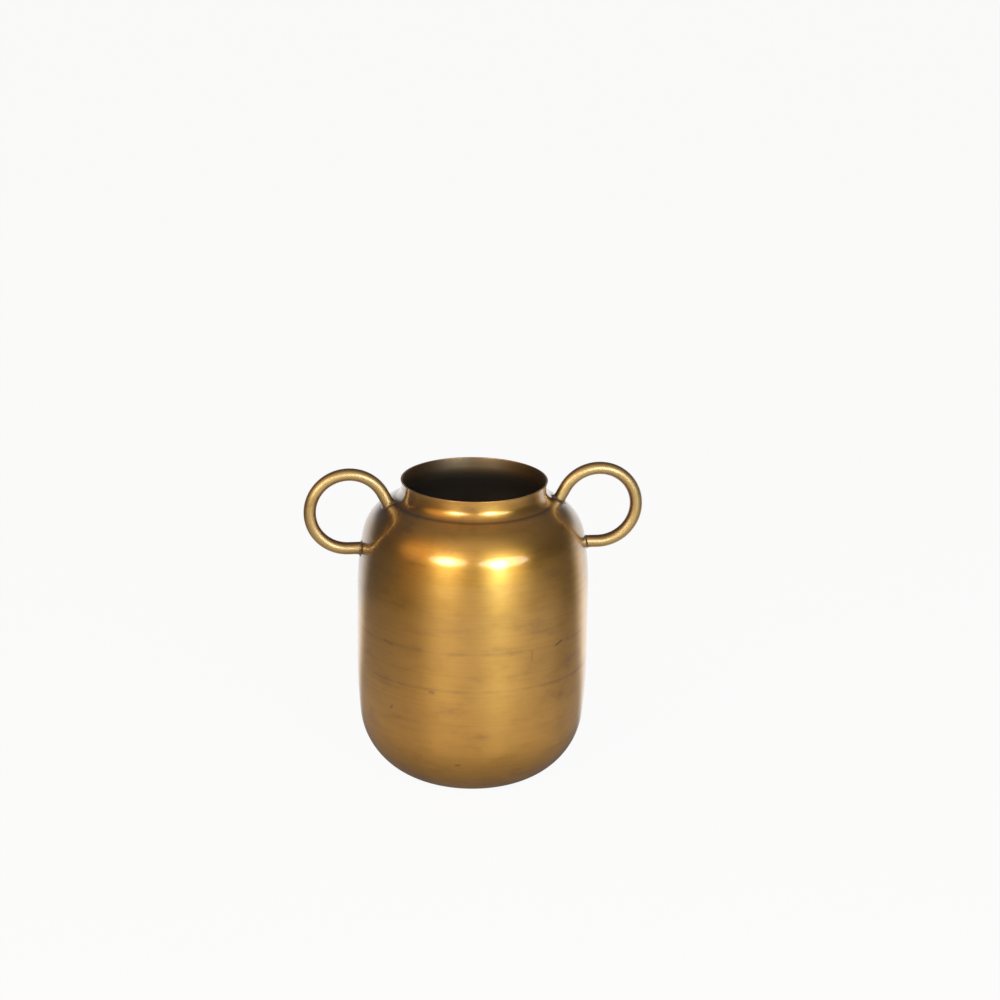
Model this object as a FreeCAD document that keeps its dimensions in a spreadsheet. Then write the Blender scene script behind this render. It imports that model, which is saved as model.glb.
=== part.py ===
import FreeCAD, Part
import math
import os
import Sketcher

# Urn vase: a spun sheet-brass body in two shells, brazed together at a seam, with a ring
# handle of round rod brazed on at each side.
# Lengths are in millimetres and angles in degrees. +Z is up. The origin is the middle of
# the plane that the vase stands on, and the two handles lie along the X axis.

SIZES = (
    ("height", 200.0, "standing plane to rim"),
    ("sheet_thickness", 1.0, "wall of both shells"),
    ("rim_easing", 0.3, "rounding of the two edges of the rim"),
    ("neck_radius", 47.0, "outside of the neck at its narrowest"),
    ("lip_flare", 0.5, "how far the rim stands out beyond the neck"),
    ("lip_radius", 18.0, "curve that carries the neck out to the rim"),
    ("neck_hollow_radius", 8.0, "hollow curve from the neck into the dome"),
    ("dome_radius", 113.0, "curve of the dome around the neck"),
    ("dome_reach", 47.0, "neck in to the centre of the dome curve"),
    ("dome_drop", 0.6, "rim down to the top that the whole dome would have"),
    ("shoulder_width", 28.0, "how far the body stands out beyond the neck"),
    ("shoulder_corner_radius", 28.0, "tight curve of the shoulder"),
    ("shoulder_side_radius", 204.0, "slow curve of the shoulder into the side"),
    ("shoulder_drop", 71.7, "rim down to where the side is upright"),
    ("seam_height", 82.0, "middle of the brazed seam"),
    ("seam_face_width", 1.6, "seam braze on the outside"),
    ("seam_root_width", 0.8, "seam braze on the inside"),
    ("seam_crown", 0.2, "how far the seam braze stands proud on the inside"),
    ("taper_drop", 3.0, "seam down to where the side starts to draw in"),
    ("bowl_side_radius", 313.0, "slow curve of the side into the bowl"),
    ("bowl_corner_radius", 48.0, "tight curve of the bowl"),
    ("foot_curve_radius", 31.0, "curve of the bowl onto the standing ring"),
    ("foot_inset", 44.0, "body's side in to the edge of the standing ring"),
    ("standing_ring_width", 4.5, "flat ring that touches the table"),
    ("dish_height", 1.5, "how far the middle of the base is pushed up"),
    ("dish_bend_radius", 4.0, "both bends of the step up to the dished base"),
    ("rod_diameter", 8.0, "round rod of the handles"),
    ("ring_radius", 24.9, "bend of the handle, at the middle of the rod"),
    ("handle_standoff", 6.2, "body's side out to the middle of the ring"),
    ("handle_drop", 19.6, "rim down to the middle of the ring"),
    ("leg_lean", 28.0, "lean of the handle's upper leg from upright"),
    ("cope_overrun", 3.0, "how far the uncut rod runs on into the body"),
    ("braze_leg", 2.0, "height and width of the braze around a rod's foot"),
)

# Driven sizes, as expressions on the table. A depth of zero is the outside of the sheet.
BODY_RADIUS = "(sizes.neck_radius + sizes.shoulder_width)"
OUTSIDE = "0"
INSIDE = "sizes.sheet_thickness"
DOME_CENTRE_ACROSS = "(sizes.neck_radius - sizes.dome_reach)"
DOME_CENTRE_UP = "(sizes.height - sizes.dome_drop - sizes.dome_radius)"
SIDE_TOP = "(sizes.height - sizes.shoulder_drop)"
SIDE_BOTTOM = "(sizes.seam_height - sizes.taper_drop)"
FOOT_RADIUS = f"({BODY_RADIUS} - sizes.foot_inset)"
RING_MIDDLE = f"({BODY_RADIUS} + sizes.handle_standoff)"
RING_HEIGHT = "(sizes.height - sizes.handle_drop)"
LEG_HEIGHT = f"({RING_HEIGHT} - sizes.ring_radius)"
SUNK_SIDE_RADIUS = "(sizes.shoulder_side_radius - sizes.cope_overrun)"
SUNK_DOME_RADIUS = "(sizes.dome_radius - sizes.cope_overrun)"
SIDE_CENTRE_ACROSS = f"({BODY_RADIUS} - sizes.shoulder_side_radius)"
LEG_RISE = f"({LEG_HEIGHT} - {SIDE_TOP})"
LEG_START = f"({SIDE_CENTRE_ACROSS} + sqrt({SUNK_SIDE_RADIUS} ^ 2 - {LEG_RISE} ^ 2))"
LEG_FOOT = f"({SIDE_CENTRE_ACROSS} + sqrt(sizes.shoulder_side_radius ^ 2 - {LEG_RISE} ^ 2))"

FULL_TURN = 360.0
START = 1
END = 2
CENTRE = 3
ORIGIN = (-1, START)
UPRIGHT_AXIS = -2

# How near counts as touching, and how many places of an edge are looked at.
NEAR = 0.01
SAMPLES = 9

doc = FreeCAD.newDocument("urn_vase")
sizes = doc.addObject("Spreadsheet::Sheet", "sizes")
for row, (alias, value, meaning) in enumerate(SIZES, start=1):
    sizes.set(f"A{row}", alias)
    sizes.set(f"B{row}", str(value))
    sizes.setAlias(f"B{row}", alias)
    sizes.set(f"C{row}", meaning)
doc.recompute()


def worth(expression):
    """Number that an expression on the table of sizes comes to."""
    return float(sizes.evalExpression(expression))


def spot(across, up):
    """A point of a sketch."""
    return FreeCAD.Vector(across, up, 0.0)


def bearing(centre, place):
    """Direction in radians in which a centre sees a place."""
    return math.atan2(place.y - centre.y, place.x - centre.x)


def on_circle(centre, radius, towards):
    """Point of a circle that lies in the direction of another point."""
    away = towards - centre
    return centre + away * (radius / away.Length)


def circles_meet(centre_a, radius_a, centre_b, radius_b):
    """The two points that two circles share."""
    gap = centre_b - centre_a
    along = (radius_a ** 2 - radius_b ** 2 + gap.Length ** 2) / (2 * gap.Length)
    across = math.sqrt(radius_a ** 2 - along ** 2)
    unit = gap * (1 / gap.Length)
    middle = centre_a + unit * along
    return middle + spot(-unit.y, unit.x) * across, middle - spot(-unit.y, unit.x) * across


class Stretch:
    """A line or an arc of an outline, in the direction in which the outline runs."""

    def __init__(self, start, end, centre=None, turn=0, radius=None):
        self.start = start
        self.end = end
        self.centre = centre
        self.turn = turn
        self.radius = radius

    def backwards(self):
        """The same stretch, run the other way."""
        return Stretch(self.end, self.start, self.centre, -self.turn, self.radius)


class Drawn:
    """A stretch in a sketch: its number, and which of its ends comes first."""

    def __init__(self, number, first, last):
        self.number = number
        self.first = (number, first)
        self.last = (number, last)
        self.centre = (number, CENTRE)

    def backwards(self):
        """The same geometry, read the other way."""
        return Drawn(self.number, self.last[1], self.first[1])


class Outline:
    """Lines and arcs in a sketch, held by constraints that follow the table of sizes."""

    def __init__(self, body, name, plane="XZ_Plane"):
        planes = [piece for piece in body.Origin.OriginFeatures if piece.Role == plane]
        self.sketch = body.newObject("Sketcher::SketchObject", name)
        self.sketch.AttachmentSupport = [(planes[0], "")]
        self.sketch.MapMode = "FlatFace"

    def constrain(self, kind, *where):
        """Add a constraint that has no value."""
        self.sketch.addConstraint(Sketcher.Constraint(kind, *where))

    def hold(self, kind, expression, *where):
        """Add a measured constraint whose value is worked out from the sizes."""
        value = worth(expression)
        if kind == "Angle":
            value = math.radians(value)
        number = self.sketch.addConstraint(Sketcher.Constraint(kind, *where, value))
        self.sketch.setExpression(f"Constraints[{number}]", expression)

    def across(self, end, expression):
        """Hold a point at a distance from the upright axis."""
        self.hold("DistanceX", expression, *ORIGIN, *end)

    def up(self, end, expression):
        """Hold a point at a height."""
        self.hold("DistanceY", expression, *ORIGIN, *end)

    def draw(self, stretch):
        """Add one stretch, and its radius if it has one."""
        if stretch.turn == 0:
            line = Part.LineSegment(stretch.start, stretch.end)
            return Drawn(self.sketch.addGeometry(line, False), START, END)
        ends = [stretch.start, stretch.end][::stretch.turn]
        radius = (stretch.start - stretch.centre).Length
        circle = Part.Circle(stretch.centre, FreeCAD.Vector(0, 0, 1), radius)
        arc = Part.ArcOfCircle(circle, *[bearing(stretch.centre, end) for end in ends])
        number = self.sketch.addGeometry(arc, False)
        self.hold("Radius", stretch.radius, number)
        return Drawn(number, *[START, END][::stretch.turn])

    def run(self, stretches):
        """Draw stretches that run smoothly into each other."""
        drawn = []
        for stretch in stretches:
            drawn.append(self.draw(stretch))
            if len(drawn) > 1:
                self.constrain("Tangent", *drawn[-2].last, *drawn[-1].first)
        return drawn

    def line(self, start, end):
        """Draw one straight line."""
        return self.draw(Stretch(start, end))

    def close(self, *chains):
        """Tie the end of each chain to the start of the next, and so round to the first."""
        for before, after in zip(chains, chains[1:] + chains[:1]):
            self.constrain("Coincident", *before[-1].last, *after[0].first)


def upper_stretches(depth):
    """Surface of the upper body from the rim down to its upright side."""
    neck = worth(f"sizes.neck_radius - {depth}")
    lip_radius = worth(f"sizes.lip_radius + {depth}")
    lip_turn = math.acos(1 - worth("sizes.lip_flare") / lip_radius)
    rim = spot(neck + worth("sizes.lip_flare"), worth("sizes.height"))
    lip_end = spot(neck, rim.y - lip_radius * math.sin(lip_turn))

    dome = spot(worth(DOME_CENTRE_ACROSS), worth(DOME_CENTRE_UP))
    dome_radius = worth(f"sizes.dome_radius - {depth}")
    hollow_radius = worth(f"sizes.neck_hollow_radius + {depth}")
    hollow_across = neck + hollow_radius - dome.x
    hollow_up = math.sqrt((dome_radius + hollow_radius) ** 2 - hollow_across ** 2)
    hollow = dome + spot(hollow_across, hollow_up)
    neck_end = hollow - spot(hollow_radius, 0)
    dome_start = on_circle(dome, dome_radius, hollow)

    side_radius = worth(f"sizes.shoulder_side_radius - {depth}")
    side_end = spot(worth(f"{BODY_RADIUS} - {depth}"), worth(SIDE_TOP))
    side = side_end - spot(side_radius, 0)
    side_gap = worth("sizes.shoulder_side_radius - sizes.shoulder_corner_radius")
    dome_gap = worth("sizes.dome_radius - sizes.shoulder_corner_radius")
    corner = max(circles_meet(side, side_gap, dome, dome_gap), key=lambda place: place.x)
    dome_end = on_circle(dome, dome_radius, corner)
    side_start = on_circle(side, side_radius, corner)
    wall_end = spot(side_end.x, worth("sizes.seam_height"))
    return [
        Stretch(rim, lip_end, lip_end + spot(lip_radius, 0), 1, f"sizes.lip_radius + {depth}"),
        Stretch(lip_end, neck_end),
        Stretch(neck_end, dome_start, hollow, 1, f"sizes.neck_hollow_radius + {depth}"),
        Stretch(dome_start, dome_end, dome, -1, f"sizes.dome_radius - {depth}"),
        Stretch(dome_end, side_start, corner, -1, f"sizes.shoulder_corner_radius - {depth}"),
        Stretch(side_start, side_end, side, -1, f"sizes.shoulder_side_radius - {depth}"),
        Stretch(side_end, wall_end),
    ]


def hold_upper(outline, drawn, depth, bottom):
    """Hold the surface of the upper body, drawn from the rim down."""
    lip, neck, hollow, dome, corner, side, wall = drawn
    outline.across(lip.first, f"sizes.neck_radius + sizes.lip_flare - {depth}")
    outline.up(lip.first, "sizes.height")
    outline.constrain("Vertical", neck.number)
    outline.across(neck.last, f"sizes.neck_radius - {depth}")
    outline.hold("DistanceX", f"sizes.dome_reach - {depth}", *dome.centre, *neck.last)
    outline.up(dome.centre, DOME_CENTRE_UP)
    outline.constrain("Vertical", wall.number)
    outline.across(wall.first, f"{BODY_RADIUS} - {depth}")
    outline.up(wall.first, SIDE_TOP)
    outline.up(wall.last, bottom)


def lower_stretches(depth):
    """Surface of the lower body from the seam down to the middle of the dished base."""
    wall_start = spot(worth(f"{BODY_RADIUS} - {depth}"), worth("sizes.seam_height"))
    side_start = spot(wall_start.x, worth(SIDE_BOTTOM))
    side_radius = worth(f"sizes.bowl_side_radius - {depth}")
    side = side_start - spot(side_radius, 0)
    foot = spot(worth(FOOT_RADIUS), worth("sizes.foot_curve_radius"))
    foot_end = spot(foot.x, worth(depth))
    side_gap = worth("sizes.bowl_side_radius - sizes.bowl_corner_radius")
    foot_gap = worth("sizes.bowl_corner_radius - sizes.foot_curve_radius")
    corner = max(circles_meet(side, side_gap, foot, foot_gap), key=lambda place: place.y)
    side_end = on_circle(side, side_radius, corner)
    corner_end = foot + (foot - corner) * ((foot_end - foot).Length / foot_gap)

    bend = worth("sizes.dish_bend_radius")
    rise = worth("sizes.dish_height")
    bend_turn = math.acos((2 * bend - rise) / (2 * bend))
    ring_end = foot_end - spot(worth("sizes.standing_ring_width"), 0)
    step = spot(ring_end.x, bend)
    dish = spot(step.x - 2 * bend * math.sin(bend_turn), rise - bend)
    step_end = on_circle(step, worth(f"sizes.dish_bend_radius - {depth}"), dish)
    dish_edge = spot(dish.x, worth(f"sizes.dish_height + {depth}"))
    return [
        Stretch(wall_start, side_start),
        Stretch(side_start, side_end, side, -1, f"sizes.bowl_side_radius - {depth}"),
        Stretch(side_end, corner_end, corner, -1, f"sizes.bowl_corner_radius - {depth}"),
        Stretch(corner_end, foot_end, foot, -1, f"sizes.foot_curve_radius - {depth}"),
        Stretch(foot_end, ring_end),
        Stretch(ring_end, step_end, step, -1, f"sizes.dish_bend_radius - {depth}"),
        Stretch(step_end, dish_edge, dish, 1, f"sizes.dish_bend_radius + {depth}"),
        Stretch(dish_edge, spot(0, dish_edge.y)),
    ]


def hold_lower(outline, drawn, depth, top):
    """Hold the surface of the lower body, drawn from the seam down."""
    wall, side, corner, foot, ring, step, bend, dish = drawn
    outline.constrain("Vertical", wall.number)
    outline.across(wall.first, f"{BODY_RADIUS} - {depth}")
    outline.up(wall.first, top)
    outline.up(wall.last, SIDE_BOTTOM)
    outline.constrain("Horizontal", ring.number)
    outline.across(ring.first, FOOT_RADIUS)
    outline.hold("DistanceX", "sizes.standing_ring_width", *ring.last, *ring.first)
    if depth == OUTSIDE:
        outline.constrain("PointOnObject", *ring.first, -1)
    else:
        outline.up(ring.first, depth)
    outline.constrain("Horizontal", dish.number)
    outline.up(dish.first, f"sizes.dish_height + {depth}")
    outline.constrain("PointOnObject", *dish.last, UPRIGHT_AXIS)


def backwards(things):
    """The same stretches or drawn geometry, read the other way."""
    return [thing.backwards() for thing in reversed(things)]


def seam_edge(direction, width):
    """Height of an edge of the seam, above or below its middle."""
    return f"sizes.seam_height {direction} sizes.{width} / 2"


def new_body(label):
    """An empty body for one sub-part."""
    body = doc.addObject("PartDesign::Body", label)
    body.Label = label
    return body


def turn_about_axis(body, kind, name, sketch):
    """Revolve a sketch about the upright axis, as a Revolution or a Groove."""
    feature = body.newObject(f"PartDesign::{kind}", name)
    feature.Profile = sketch
    feature.ReferenceAxis = (sketch, ["V_Axis"])
    feature.Angle = FULL_TURN
    doc.recompute()
    return feature


def make_upper_shell():
    """Neck, shoulder and upper side, spun from one sheet and open at the seam."""
    body = new_body("upper_shell")
    outline = Outline(body, "upper_shell_section")
    outer = outline.run(upper_stretches(OUTSIDE))
    hold_upper(outline, outer, OUTSIDE, seam_edge("+", "seam_face_width"))
    inner_down = upper_stretches(INSIDE)
    inner = outline.run(backwards(inner_down))
    hold_upper(outline, backwards(inner), INSIDE, seam_edge("+", "seam_root_width"))
    bevel = outline.line(upper_stretches(OUTSIDE)[-1].end, inner_down[-1].end)
    rim = outline.line(inner_down[0].start, upper_stretches(OUTSIDE)[0].start)
    outline.close(outer, [bevel], inner, [rim])
    spun = turn_about_axis(body, "Revolution", "upper_shell_spun", outline.sketch)

    rim_height = worth("sizes.height")
    rim_edges = [
        f"Edge{number}"
        for number, edge in enumerate(spun.Shape.Edges, start=1)
        if all(abs(place.z - rim_height) < NEAR for place in edge.discretize(SAMPLES))
    ]
    easing = body.newObject("PartDesign::Fillet", "upper_shell_rim_easing")
    easing.Base = (spun, rim_edges)
    easing.setExpression("Radius", "sizes.rim_easing")
    return body


def make_lower_shell():
    """Lower side, bowl and dished base, spun from one sheet and open at the seam."""
    body = new_body("lower_shell")
    outline = Outline(body, "lower_shell_section")
    outer_down = lower_stretches(OUTSIDE)
    inner_down = lower_stretches(INSIDE)
    outer = outline.run(outer_down)
    hold_lower(outline, outer, OUTSIDE, seam_edge("-", "seam_face_width"))
    inner = outline.run(backwards(inner_down))
    hold_lower(outline, backwards(inner), INSIDE, seam_edge("-", "seam_root_width"))
    middle = outline.line(outer_down[-1].end, inner_down[-1].end)
    bevel = outline.line(inner_down[0].start, outer_down[0].start)
    outline.close(outer, [middle], inner, [bevel])
    turn_about_axis(body, "Revolution", "lower_shell_spun", outline.sketch)
    return body


def make_seam_braze():
    """Braze that fills the V between the bevelled edges of the two shells."""
    body = new_body("seam_braze")
    outline = Outline(body, "seam_braze_section")
    face_top = spot(worth(BODY_RADIUS), worth(seam_edge("+", "seam_face_width")))
    face_bottom = spot(worth(BODY_RADIUS), worth(seam_edge("-", "seam_face_width")))
    root_across = worth(f"{BODY_RADIUS} - {INSIDE}")
    root_top = spot(root_across, worth(seam_edge("+", "seam_root_width")))
    root_bottom = spot(root_across, worth(seam_edge("-", "seam_root_width")))
    crown_radius = (
        "((sizes.seam_root_width / 2) ^ 2 + sizes.seam_crown ^ 2) / (2 * sizes.seam_crown)"
    )
    crown_across = root_across + worth(f"{crown_radius} - sizes.seam_crown")
    crown_centre = spot(crown_across, worth("sizes.seam_height"))
    face = outline.line(face_top, face_bottom)
    lower = outline.line(face_bottom, root_bottom)
    crown = outline.draw(Stretch(root_bottom, root_top, crown_centre, -1, crown_radius))
    upper = outline.line(root_top, face_top)
    outline.close([face], [lower], [crown], [upper])
    for end, across, height in (
        (face.first, BODY_RADIUS, seam_edge("+", "seam_face_width")),
        (face.last, BODY_RADIUS, seam_edge("-", "seam_face_width")),
        (crown.first, f"{BODY_RADIUS} - {INSIDE}", seam_edge("-", "seam_root_width")),
        (crown.last, f"{BODY_RADIUS} - {INSIDE}", seam_edge("+", "seam_root_width")),
    ):
        outline.across(end, across)
        outline.up(end, height)
    turn_about_axis(body, "Revolution", "seam_braze_turned", outline.sketch)
    return body


def add_body_blank(body, kind):
    """The upper body as if it were solid, added to a body or cut from it."""
    label = f"{body.Label}_{kind.lower()}"
    outline = Outline(body, f"{label}_outline", "YZ_Plane")
    stretches = upper_stretches(OUTSIDE)
    outer = outline.run(stretches)
    hold_upper(outline, outer, OUTSIDE, "sizes.seam_height")
    low_middle = spot(0, stretches[-1].end.y)
    high_middle = spot(0, stretches[0].start.y)
    floor = outline.line(stretches[-1].end, low_middle)
    axis = outline.line(low_middle, high_middle)
    mouth = outline.line(high_middle, stretches[0].start)
    outline.close(outer, [floor], [axis], [mouth])
    outline.constrain("Horizontal", floor.number)
    outline.constrain("Horizontal", mouth.number)
    outline.constrain("PointOnObject", *floor.last, UPRIGHT_AXIS)
    outline.constrain("PointOnObject", *mouth.first, UPRIGHT_AXIS)
    return turn_about_axis(body, kind, label, outline.sketch)


def upper_leg():
    """Top of the handle's upper leg, where it meets the dome, and where it is cut off."""
    lean = math.radians(worth("sizes.leg_lean"))
    ring = spot(worth(RING_MIDDLE), worth(RING_HEIGHT))
    leg_top = ring + spot(-math.cos(lean), math.sin(lean)) * worth("sizes.ring_radius")
    slope = spot(-math.sin(lean), -math.cos(lean))
    gap = leg_top - spot(worth(DOME_CENTRE_ACROSS), worth(DOME_CENTRE_UP))
    across = gap.dot(gap) - gap.dot(slope) ** 2
    foot, leg_end = [
        leg_top + slope * (-gap.dot(slope) - math.sqrt(worth(radius) ** 2 - across))
        for radius in ("sizes.dome_radius", SUNK_DOME_RADIUS)
    ]
    return leg_top, foot, leg_end


def draw_rod(body):
    """The rod's round section and the line that its middle follows."""
    label = body.Label
    section = Outline(body, f"{label}_rod_section", "YZ_Plane")
    section.sketch.setExpression("AttachmentOffset.Base.z", LEG_START)
    middle = spot(0, worth(LEG_HEIGHT))
    circle = Part.Circle(middle, FreeCAD.Vector(0, 0, 1), worth("sizes.rod_diameter / 2"))
    number = section.sketch.addGeometry(circle, False)
    section.hold("Diameter", "sizes.rod_diameter", number)
    section.constrain("PointOnObject", number, CENTRE, UPRIGHT_AXIS)
    section.up((number, CENTRE), LEG_HEIGHT)

    line = Outline(body, f"{label}_rod_line")
    leg_top, _, leg_end = upper_leg()
    ring = spot(worth(RING_MIDDLE), worth(RING_HEIGHT))
    ring_bottom = spot(ring.x, middle.y)
    lower, bend, upper = line.run([
        Stretch(spot(worth(LEG_START), middle.y), ring_bottom),
        Stretch(ring_bottom, leg_top, ring, 1, "sizes.ring_radius"),
        Stretch(leg_top, leg_end),
    ])
    line.constrain("Horizontal", lower.number)
    line.across(lower.first, LEG_START)
    line.across(bend.centre, RING_MIDDLE)
    line.up(bend.centre, RING_HEIGHT)
    line.hold("Angle", "-90 - sizes.leg_lean", upper.number)

    dome = spot(worth(DOME_CENTRE_ACROSS), worth(DOME_CENTRE_UP))
    sunk = Part.Circle(dome, FreeCAD.Vector(0, 0, 1), worth(SUNK_DOME_RADIUS))
    number = line.sketch.addGeometry(sunk, True)
    line.hold("Radius", SUNK_DOME_RADIUS, number)
    line.up((number, CENTRE), DOME_CENTRE_UP)
    line.hold("DistanceX", f"{RING_MIDDLE} - {DOME_CENTRE_ACROSS}", number, CENTRE, *bend.centre)
    line.constrain("PointOnObject", *upper.last, number)
    return section.sketch, line.sketch


def add_rod(body, kind, section, line):
    """Sweep the rod, added to a body or cut from it."""
    rod = body.newObject(f"PartDesign::{kind}", f"{body.Label}_rod_{kind.lower()}")
    rod.Profile = section
    rod.Spine = (line, [f"Edge{number}" for number in (1, 2, 3)])
    doc.recompute()
    return rod


def make_handle(side, turn):
    """One handle: a rod bent into a ring, its two ends coped to fit the body."""
    body = new_body(f"{side}_handle")
    section, line = draw_rod(body)
    rod = add_rod(body, "AdditivePipe", section, line)
    whole = rod.Shape.Volume
    coped = add_body_blank(body, "Groove")
    if not 0 < coped.Shape.Volume < whole:
        raise RuntimeError(f"{body.Label} was not coped to the body")
    body.Placement = turn
    return body


def join_rod(label):
    """The rod and the solid upper body as one, which the braze is worked out from."""
    body = new_body(label)
    add_body_blank(body, "Revolution")
    section, line = draw_rod(body)
    return body, add_rod(body, "AdditivePipe", section, line)


def blend_foot(label, foot, direction):
    """The joined rod and body with a hollow curve around one foot of the rod."""
    body, joined = join_rod(label)
    rod_radius = worth("sizes.rod_diameter / 2")
    reach = worth("sizes.rod_diameter / 2 + sizes.braze_leg / 2")
    edges = [
        f"Edge{number}"
        for number, edge in enumerate(joined.Shape.Edges, start=1)
        if all(
            (place - foot).Length < reach
            and abs(place.distanceToLine(foot, direction) - rod_radius) < NEAR
            for place in edge.discretize(SAMPLES)
        )
    ]
    blend = body.newObject("PartDesign::Fillet", f"{label}_hollow")
    blend.Base = (joined, edges)
    blend.setExpression("Radius", "sizes.braze_leg")
    doc.recompute()
    if not blend.Shape.Volume > joined.Shape.Volume:
        raise RuntimeError(f"{label} has no hollow around the rod")
    return body


def make_foot_braze(label, turn, blended, joined):
    """Braze around one foot: what the hollow curve adds to the joined rod and body."""
    braze = doc.addObject("Part::Cut", label)
    braze.Label = label
    braze.Base = blended
    braze.Tool = joined
    braze.Placement = turn
    return braze


parts = [make_upper_shell(), make_lower_shell(), make_seam_braze()]

leg_top, upper_meeting, leg_end = upper_leg()
leg_direction = leg_end - leg_top
upper_foot = FreeCAD.Vector(upper_meeting.x, 0, upper_meeting.y)
lower_foot = FreeCAD.Vector(worth(LEG_FOOT), 0, worth(LEG_HEIGHT))
joined_rod, _ = join_rod("rod_on_body")
feet = (
    ("upper", upper_foot, FreeCAD.Vector(leg_direction.x, 0, leg_direction.y)),
    ("lower", lower_foot, FreeCAD.Vector(1, 0, 0)),
)
blends = [(end, blend_foot(f"{end}_foot_blend", foot, way)) for end, foot, way in feet]
for side, degrees in (("right", 0.0), ("left", FULL_TURN / 2)):
    turn = FreeCAD.Placement(FreeCAD.Vector(), FreeCAD.Rotation(FreeCAD.Vector(0, 0, 1), degrees))
    parts.append(make_handle(side, turn))
    for end, blended in blends:
        parts.append(make_foot_braze(f"{side}_{end}_braze", turn, blended, joined_rod))
doc.recompute()

for item in doc.Objects:
    if "Invalid" in item.State or "Error" in item.State:
        raise RuntimeError(f"{item.Name} did not compute: {item.State}")
for piece in parts:
    if piece.Shape.isNull() or not piece.Shape.isValid():
        raise RuntimeError(f"{piece.Label} has no valid shape")
    if len(piece.Shape.Solids) != 1:
        raise RuntimeError(f"{piece.Label} is not one solid")

os.makedirs("parts", exist_ok=True)
for piece in parts:
    piece.Shape.exportStep(f"parts/{piece.Label}.step")
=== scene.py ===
"""Looks of an urn vase: a spun brass body in two shells with a ring handle brazed on at each side.

Lengths are in metres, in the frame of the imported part: +Z is up, the origin is the middle of the plane that
the vase stands on, and the handles lie along X. Each class below makes one kind of piece of the vase.
"""
import logging
import math
from dataclasses import dataclass
from enum import Enum
from typing import Callable, Iterable, Sequence

import bpy
from mathutils import Matrix, Vector


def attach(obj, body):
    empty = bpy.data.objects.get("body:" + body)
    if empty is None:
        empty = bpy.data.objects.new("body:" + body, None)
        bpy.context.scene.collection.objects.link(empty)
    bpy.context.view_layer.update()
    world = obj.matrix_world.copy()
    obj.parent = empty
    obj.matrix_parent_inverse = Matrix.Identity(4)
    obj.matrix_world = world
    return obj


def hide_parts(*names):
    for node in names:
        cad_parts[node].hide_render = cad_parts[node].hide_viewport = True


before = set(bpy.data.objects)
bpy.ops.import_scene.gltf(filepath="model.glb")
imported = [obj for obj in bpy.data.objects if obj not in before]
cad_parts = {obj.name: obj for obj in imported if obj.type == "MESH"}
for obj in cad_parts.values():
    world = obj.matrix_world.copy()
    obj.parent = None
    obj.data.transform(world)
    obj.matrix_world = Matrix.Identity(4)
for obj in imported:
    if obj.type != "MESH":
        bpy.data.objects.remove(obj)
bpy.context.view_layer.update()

LOG = logging.getLogger("urn_vase")
ROOT = "root"
MM = 0.001
WELD = MM / 500
FULL_TURN = 2 * math.pi
QUARTER = 0.25
AXIS_CENTRE = (0.0, 0.0, 0.0)

Point = tuple[float, float]
Place = tuple[float, float, float]
Colour = tuple[float, float, float]
WHITE: Colour = (1.0, 1.0, 1.0)


class Slot(Enum):
    """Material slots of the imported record."""

    SHEET = "spun_sheet"
    ROD = "rod"
    BRAZE = "braze"


class Side(Enum):
    """Side of the vase that a handle stands on, as the sign of its X."""

    LEFT = -1
    RIGHT = 1


class Foot(Enum):
    """End of a handle."""

    UPPER = "upper"
    LOWER = "lower"


# Working in the 3-D view, in code.


def only(piece: bpy.types.Object) -> None:
    """Select one piece and make it active.

    Args:
        piece: The object to work on.
    """
    bpy.ops.object.select_all(action="DESELECT")
    piece.select_set(True)
    bpy.context.view_layer.objects.active = piece


class Editing:
    """Edit mode on one piece, with nothing selected at the start."""

    def __init__(self, piece: bpy.types.Object, mode: str = "VERT") -> None:
        """Remember the piece and what is picked in it.

        Args:
            piece: The object to edit.
            mode: VERT, EDGE or FACE.
        """
        self.piece = piece
        self.mode = mode

    def __enter__(self) -> "Editing":
        """Open edit mode."""
        only(self.piece)
        bpy.ops.object.mode_set(mode="EDIT")
        bpy.ops.mesh.select_mode(type=self.mode)
        bpy.ops.mesh.select_all(action="DESELECT")
        return self

    def __exit__(self, *_: object) -> None:
        """Close edit mode."""
        bpy.ops.object.mode_set(mode="OBJECT")

    def pick_faces(self, wanted: Callable[[Vector, Vector], bool]) -> None:
        """Select faces by their place and normal.

        Args:
            wanted: Test of a face's centre and normal.
        """
        bpy.ops.object.mode_set(mode="OBJECT")
        for face in self.piece.data.polygons:
            face.select = wanted(face.center, face.normal)
        bpy.ops.object.mode_set(mode="EDIT")

    def pick_edges(self, wanted: Callable[[Vector, Vector], bool]) -> None:
        """Select edges by their two ends.

        Args:
            wanted: Test of an edge's two ends.
        """
        bpy.ops.object.mode_set(mode="OBJECT")
        points = self.piece.data.vertices
        for edge in self.piece.data.edges:
            start, end = (points[number] for number in edge.vertices)
            edge.select = wanted(start.co, end.co)
            start.select = start.select or edge.select
            end.select = end.select or edge.select
        bpy.ops.object.mode_set(mode="EDIT")


def apply_modifier(piece: bpy.types.Object, kind: str, **settings: object) -> None:
    """Add a modifier, set it and apply it.

    Args:
        piece: The object that gets it.
        kind: Type of modifier, in Blender's capitals.
        settings: Its properties by name.
    """
    only(piece)
    modifier = piece.modifiers.new(kind.title(), kind)
    for name, value in settings.items():
        setattr(modifier, name, value)
    bpy.ops.object.modifier_apply(modifier=modifier.name)


def place_in_mesh(piece: bpy.types.Object) -> None:
    """Carry a piece's place and turn into its mesh.

    Args:
        piece: The object to set at the origin.
    """
    only(piece)
    bpy.ops.object.transform_apply(location=True, rotation=True, scale=True)


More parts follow.
